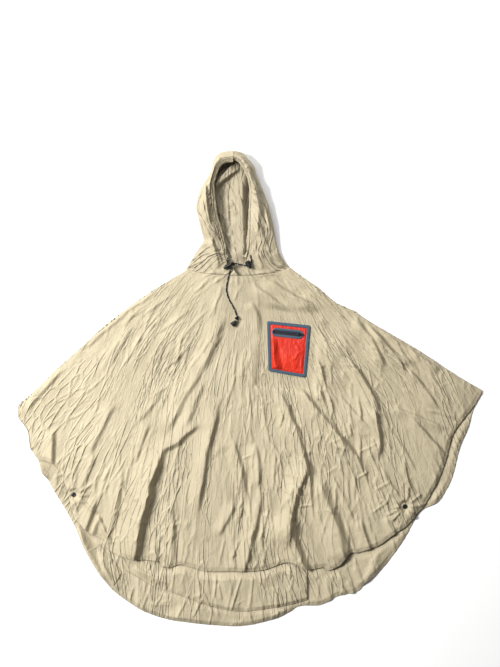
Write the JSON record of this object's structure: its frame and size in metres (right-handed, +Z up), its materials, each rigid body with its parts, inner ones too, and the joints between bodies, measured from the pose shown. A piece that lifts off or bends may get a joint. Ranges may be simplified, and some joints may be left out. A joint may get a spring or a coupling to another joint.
{
  "type": "hooded rain poncho laid flat",
  "caption": "Hooded rain poncho laid out flat and face up, with a zipped chest pocket, side snaps, a drawcord at the face opening and a stow pocket inside the longer back.",
  "frame": {"origin": "on the surface the poncho lies on, under the middle of its outline", "axes": "+X to the viewer's right across the front, +Y from the hems toward the hood, +Z up from the surface"},
  "size_m": [1.438, 1.4681, 0.048],
  "materials": {
    "shell_fabric": "crumpled thin coated nylon, soft sheen",
    "pocket_fabric": "plain nylon, soft sheen",
    "edge_tape": "bonded slate blue tape, matt",
    "zip_tape": "coated zip tape, nearly black",
    "zip_metal": "black painted, satin",
    "snap_plastic": "black moulded snap",
    "lock_plastic": "black moulded, satin",
    "cord": "braided, black with small pale tracers"
  },
  "bodies": {
    "root": {"front_panel": "shell_fabric", "back_panel": "shell_fabric", "back_hem_facing_side": "shell_fabric", "back_hem_facing": "shell_fabric", "stow_pocket": "shell_fabric", "hood_left": "shell_fabric", "hood_right": "shell_fabric", "hood_casing_left": "shell_fabric", "hood_casing_right": "shell_fabric", "pocket_panel": "pocket_fabric", "pocket_border": "edge_tape", "zip_window_tape": "edge_tape", "zip_tape": "zip_tape", "zip_slider": "zip_metal", "snap_cap_left": "snap_plastic", "snap_cap_right": "snap_plastic", "snap_socket_left": "snap_plastic", "snap_socket_right": "snap_plastic", "cord_lock_left": "lock_plastic", "cord_lock_right": "lock_plastic", "cord_lock_button_left": "lock_plastic", "cord_lock_button_right": "lock_plastic", "drawcord_tail": "cord", "drawcord_cross": "cord", "cord_end": "lock_plastic"},
    "zip_pull": {"zip_pull_tab": "zip_metal"}
  },
  "joints": [
    {"name": "zip_pull_swing", "type": "hinge", "parent": "root", "child": "zip_pull", "pos_m": [0.15239, 0.16855, 0.0087], "axis": [-0.108, -0.9942, 0], "range_deg": [0, 135]}
  ]
}
